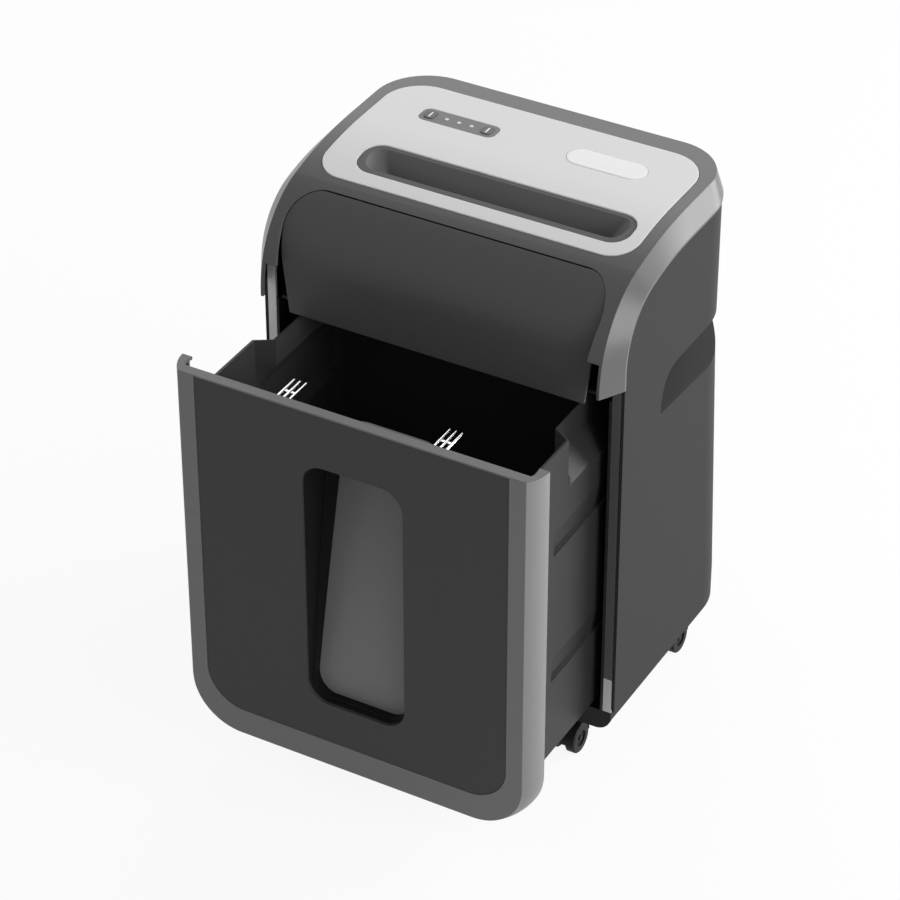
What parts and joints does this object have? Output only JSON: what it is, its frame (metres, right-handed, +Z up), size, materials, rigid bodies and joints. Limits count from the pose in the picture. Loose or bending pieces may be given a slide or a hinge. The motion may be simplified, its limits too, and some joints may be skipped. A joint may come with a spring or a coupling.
{
  "type": "paper shredder",
  "caption": "Free-standing paper shredder on castors, with a pull-out bin, a window scoop in its front, a curved cutting head and a top feed slot.",
  "frame": {"origin": "bottom centre of the bounding box with the bin pulled out as pictured, on the floor", "axes": "+X to the right as seen from the front, +Y to the back, +Z up"},
  "size_m": [0.362, 0.412, 0.5259],
  "materials": {
    "frame_grey": "satin moulded plastic",
    "panel_dark": "satin moulded plastic",
    "silver": "silver painted plastic",
    "throat_black": "fine grained plastic",
    "strip_grey": "smooth plastic",
    "lens": "dark clear plastic",
    "key": "satin plastic",
    "plaque_white": "smooth printed plastic, left bare",
    "side_grey": "fine grained plastic",
    "trim_light": "satin plastic",
    "inner_grey": "plain plastic",
    "black": "plain plastic",
    "bin_grey": "satin moulded plastic",
    "bin_dark": "fine grained plastic",
    "tub_black": "smooth plastic",
    "window_smoke": "smoked clear plastic",
    "surround_black": "smooth plastic",
    "clip_chrome": "polished wire",
    "steel": "machined steel",
    "zinc": "zinc plated sheet",
    "bush_brass": "sintered bronze",
    "gear_white": "moulded nylon",
    "motor_grey": "satin paint",
    "board_green": "coated board",
    "wheel_black": "smooth tread"
  },
  "bodies": {
    "cabinet": {"head_arch": "frame_grey", "head_front_panel": "panel_dark", "top_panel": "silver", "feed_throat": "throat_black", "control_strip": "strip_grey", "indicator_lenses": "lens", "plaque": "plaque_white", "left_side_panel": "side_grey", "right_side_panel": "side_grey", "back_panel": "side_grey", "left_front_trim": "trim_light", "right_front_trim": "trim_light", "left_inner_wall": "inner_grey", "right_inner_wall": "inner_grey", "base_tray": "black", "head_deck": "inner_grey", "cabinet_screws": "zinc", "rocker_bezel": "black", "cord_gland": "black", "left_end_plate": "zinc", "right_end_plate": "zinc", "tie_rods": "steel", "cutter_bushes": "bush_brass", "front_stripper_comb": "black", "rear_stripper_comb": "black", "gear_axle": "steel", "motor_body": "motor_grey", "motor_screws": "zinc", "circuit_board": "board_green", "paper_sensor": "black", "bin_sensor": "black"},
    "bin": {"bin_frame": "bin_grey", "bin_front_plate": "bin_dark", "window_surround": "surround_black", "window_pane": "window_smoke", "bin_tub": "tub_black", "bin_screws": "zinc", "bag_clips": "clip_chrome"},
    "rear_cutter_set": {"rear_cutter": "steel", "drive_gear": "steel", "rear_sync_gear": "steel"},
    "front_cutter_set": {"front_cutter": "steel", "front_sync_gear": "steel"},
    "intermediate_set": {"intermediate_gear": "gear_white"},
    "motor_rotor": {"motor_pinion": "steel", "motor_armature": "steel"},
    "rocker": {"rocker_switch": "black"},
    "power_button": {"power_key": "key"},
    "reverse_button": {"reverse_key": "key"},
    "castor_front_left": {"castor_hood_front_left": "black"},
    "wheels_front_left": {"castor_wheels_front_left": "wheel_black"},
    "castor_front_right": {"castor_hood_front_right": "black"},
    "wheels_front_right": {"castor_wheels_front_right": "wheel_black"},
    "castor_rear_left": {"castor_hood_rear_left": "black"},
    "wheels_rear_left": {"castor_wheels_rear_left": "wheel_black"},
    "castor_rear_right": {"castor_hood_rear_right": "black"},
    "wheels_rear_right": {"castor_wheels_rear_right": "wheel_black"}
  },
  "joints": [
    {"name": "bin_slide", "type": "slide", "parent": "cabinet", "child": "bin", "axis": [0, 1, 0], "range_m": [-0.07, 0.133]},
    {"name": "rear_cutter_spin", "type": "hinge", "parent": "cabinet", "child": "rear_cutter_set", "pos_m": [0, 0.048, 0.454], "axis": [1, 0, 0], "continuous": true},
    {"name": "front_cutter_spin", "type": "hinge", "parent": "cabinet", "child": "front_cutter_set", "pos_m": [0, 0.018, 0.454], "axis": [1, 0, 0], "continuous": true},
    {"name": "intermediate_spin", "type": "hinge", "parent": "cabinet", "child": "intermediate_set", "pos_m": [0, 0.08606, 0.46253], "axis": [1, 0, 0], "continuous": true},
    {"name": "motor_spin", "type": "hinge", "parent": "cabinet", "child": "motor_rotor", "pos_m": [0, 0.12, 0.454], "axis": [1, 0, 0], "continuous": true},
    {"name": "rocker_press", "type": "hinge", "parent": "cabinet", "child": "rocker", "pos_m": [0.07, 0.185, 0.464], "axis": [1, 0, 0], "range_deg": [0, 16]},
    {"name": "power_press", "type": "slide", "parent": "cabinet", "child": "power_button", "axis": [0, 0, -1], "range_m": [0, 0.001], "stiffness_N_per_m": 250},
    {"name": "reverse_press", "type": "slide", "parent": "cabinet", "child": "reverse_button", "axis": [0, 0, -1], "range_m": [0, 0.001], "stiffness_N_per_m": 250},
    {"name": "castor_swivel_front_left", "type": "hinge", "parent": "cabinet", "child": "castor_front_left", "pos_m": [-0.13, -0.032, 0.04], "axis": [0, 0, 1], "continuous": true},
    {"name": "wheel_spin_front_left", "type": "hinge", "parent": "castor_front_left", "child": "wheels_front_left", "pos_m": [-0.13, -0.041, 0.015], "axis": [1, 0, 0], "continuous": true},
    {"name": "castor_swivel_front_right", "type": "hinge", "parent": "cabinet", "child": "castor_front_right", "pos_m": [0.13, -0.032, 0.04], "axis": [0, 0, 1], "continuous": true},
    {"name": "wheel_spin_front_right", "type": "hinge", "parent": "castor_front_right", "child": "wheels_front_right", "pos_m": [0.13, -0.041, 0.015], "axis": [1, 0, 0], "continuous": true},
    {"name": "castor_swivel_rear_left", "type": "hinge", "parent": "cabinet", "child": "castor_rear_left", "pos_m": [-0.144, 0.146, 0.04], "axis": [0, 0, 1], "continuous": true},
    {"name": "wheel_spin_rear_left", "type": "hinge", "parent": "castor_rear_left", "child": "wheels_rear_left", "pos_m": [-0.144, 0.137, 0.015], "axis": [1, 0, 0], "continuous": true},
    {"name": "castor_swivel_rear_right", "type": "hinge", "parent": "cabinet", "child": "castor_rear_right", "pos_m": [0.144, 0.146, 0.04], "axis": [0, 0, 1], "continuous": true},
    {"name": "wheel_spin_rear_right", "type": "hinge", "parent": "castor_rear_right", "child": "wheels_rear_right", "pos_m": [0.144, 0.137, 0.015], "axis": [1, 0, 0], "continuous": true}
  ],
  "couplings": [
    {"joint": "rear_cutter_spin", "follows": "motor_spin", "ratio": 0.05},
    {"joint": "front_cutter_spin", "follows": "motor_spin", "ratio": -0.05},
    {"joint": "intermediate_spin", "follows": "motor_spin", "ratio": -0.16667}
  ]
}
